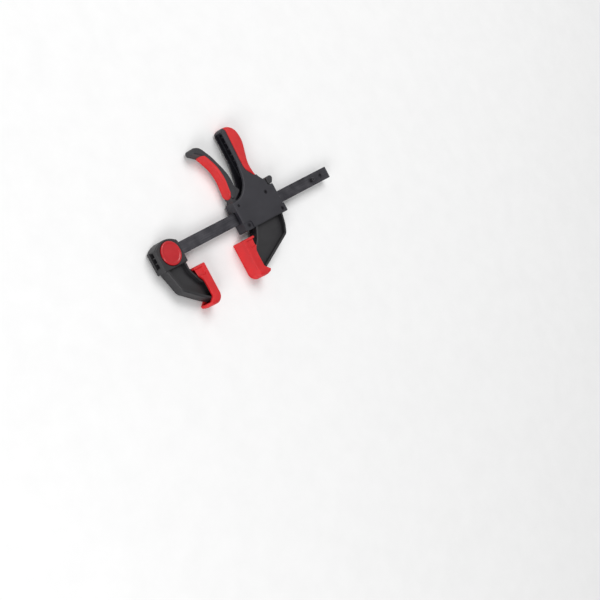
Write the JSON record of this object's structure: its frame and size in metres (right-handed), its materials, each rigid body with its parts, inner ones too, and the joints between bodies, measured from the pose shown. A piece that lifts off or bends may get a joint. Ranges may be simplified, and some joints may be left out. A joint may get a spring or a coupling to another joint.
{
  "type": "quick release bar clamp",
  "caption": "One-handed bar clamp with squeeze trigger, release lever, flat steel bar and two padded jaws.",
  "frame": {"origin": "centre of the fixed jaw's flat clamping face", "axes": "+X from the fixed jaw along the bar to its tail, +Y from the jaws to the handles, +Z through the clamp's thickness towards the lock button"},
  "size_m": [0.3503, 0.1927, 0.022],
  "materials": {
    "bar_steel": "black oxide, satin",
    "pin_steel": "dark steel",
    "jaw_plastic": "moulded nylon",
    "body_plastic": "moulded nylon",
    "pad_rubber": "soft moulding",
    "grip_rubber": "soft overmoulding",
    "button_plastic": "moulded",
    "inner_steel": "hardened plate",
    "screw_steel": "black",
    "spring_steel": "spring wire"
  },
  "bodies": {
    "bar": {"bar": "bar_steel", "stop_pin": "pin_steel", "fixed_jaw": "jaw_plastic", "fixed_jaw_pad": "pad_rubber", "lock_spring": "spring_steel"},
    "button": {"lock_button": "button_plastic", "lock_plate": "inner_steel", "lock_screws": "screw_steel"},
    "slider": {"housing_left": "body_plastic", "housing_right": "body_plastic", "housing_screws": "screw_steel", "moving_jaw": "jaw_plastic", "moving_jaw_pad": "pad_rubber", "handle_grip": "grip_rubber", "trigger_pin": "pin_steel", "drive_spring": "spring_steel", "brake_spring": "spring_steel"},
    "trigger": {"trigger": "body_plastic", "trigger_grip": "grip_rubber"},
    "drive": {"drive_plates": "inner_steel"},
    "brake": {"brake_plate": "inner_steel", "release_knob": "body_plastic"}
  },
  "joints": [
    {"name": "lock_press", "type": "slide", "parent": "bar", "child": "button", "axis": [0, 0, -1], "range_m": [0, 0.0031], "stiffness_N_per_m": 800, "deforming": ["lock_spring"]},
    {"name": "body_slide", "type": "slide", "parent": "bar", "child": "slider", "axis": [1, 0, 0], "range_m": [-0.0758, 0.074]},
    {"name": "trigger_squeeze", "type": "hinge", "parent": "slider", "child": "trigger", "pos_m": [0.1001, 0.06325, 0], "axis": [0, 0, -1], "range_deg": [0, 25], "stiffness_Nm_per_rad": 0.4},
    {"name": "drive_step", "type": "slide", "parent": "slider", "child": "drive", "axis": [1, 0, 0], "range_m": [0, 0.0025], "deforming": ["drive_spring"]},
    {"name": "brake_release", "type": "hinge", "parent": "slider", "child": "brake", "pos_m": [0.1625, 0.06165, 0], "axis": [0, 0, 1], "range_deg": [0, 6], "stiffness_Nm_per_rad": 0.5, "deforming": ["brake_spring"]}
  ],
  "couplings": [
    {"joint": "drive_step", "follows": "trigger_squeeze", "m_per_rad": 0.0056}
  ]
}
